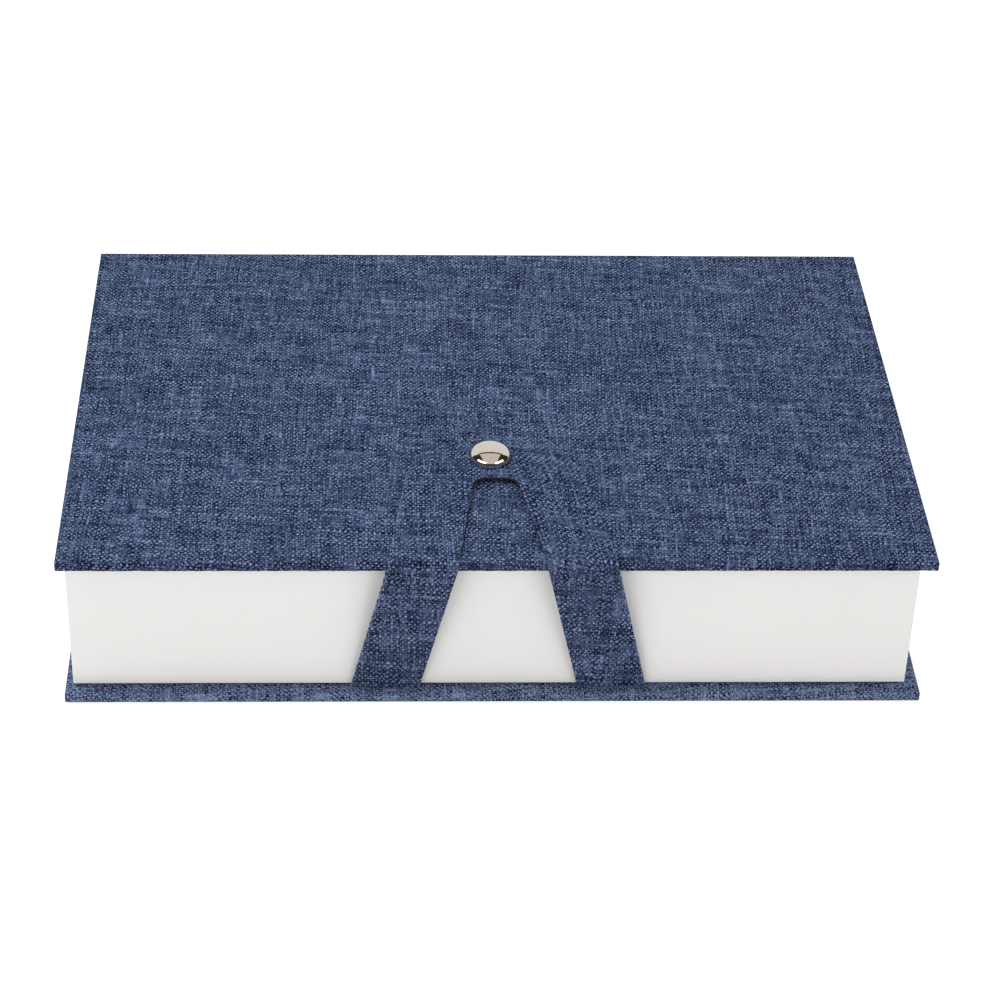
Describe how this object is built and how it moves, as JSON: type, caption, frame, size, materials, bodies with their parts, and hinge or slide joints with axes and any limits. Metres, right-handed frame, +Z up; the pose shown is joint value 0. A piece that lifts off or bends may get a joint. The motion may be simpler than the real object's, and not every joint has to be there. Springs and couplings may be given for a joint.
{
  "type": "archival box",
  "caption": "Cloth-covered archival box with a white paper-lined tray, a hinged lid and a forked strap with a press snap.",
  "frame": {"origin": "centre of the footprint, on the surface that the box stands on; the footprint includes the strap in front of the lid", "axes": "+X towards the box's right, -Y towards the front with the strap, +Z up"},
  "size_m": [0.32, 0.2206, 0.0734],
  "materials": {
    "binders_board": "matte",
    "book_cloth": "matte",
    "white_paper": "matte",
    "strap_card": "matte",
    "glue": "satin",
    "nickel_plate": "glossy",
    "plated_brass": "satin",
    "spring_steel": "satin"
  },
  "bodies": {
    "case": {"base_board": "binders_board", "base_cloth": "book_cloth", "spine_board": "binders_board", "spine_cloth": "book_cloth", "spine_lining": "white_paper", "glue_bed": "glue", "tray_floor_board": "binders_board", "tray_front_board": "binders_board", "tray_back_board": "binders_board", "tray_left_board": "binders_board", "tray_right_board": "binders_board", "tray_wrap": "white_paper", "tray_floor_paper": "white_paper", "strap_tails": "book_cloth"},
    "lid": {"lid_board": "binders_board", "lid_cloth": "book_cloth", "lid_lining": "white_paper", "hinge_cloth": "book_cloth", "snap_stud": "plated_brass", "snap_post": "plated_brass"},
    "strap_legs": {"strap_foot_folds": "book_cloth", "leg_backing": "book_cloth", "leg_core": "strap_card", "leg_face": "book_cloth"},
    "strap_crown": {"strap_crease": "book_cloth", "crown_backing": "book_cloth", "crown_core": "strap_card", "crown_face": "book_cloth", "snap_cap": "nickel_plate", "snap_socket": "plated_brass", "snap_spring": "spring_steel"}
  },
  "joints": [
    {"name": "lid_hinge", "type": "hinge", "parent": "case", "child": "lid", "pos_m": [0, 0.11026, 0.0608], "axis": [-1, 0, 0], "range_deg": [0, 194], "deforming": ["hinge_cloth"]},
    {"name": "strap_swing", "type": "hinge", "parent": "case", "child": "strap_legs", "pos_m": [0, -0.10334, 0.0054], "axis": [1, 0, 0], "range_deg": [0, 81], "deforming": ["strap_foot_folds"]},
    {"name": "strap_crown_fold", "type": "hinge", "parent": "strap_legs", "child": "strap_crown", "pos_m": [0, -0.10876, 0.0648], "axis": [1, 0, 0], "range_deg": [0, 98], "deforming": ["strap_crease"]}
  ]
}
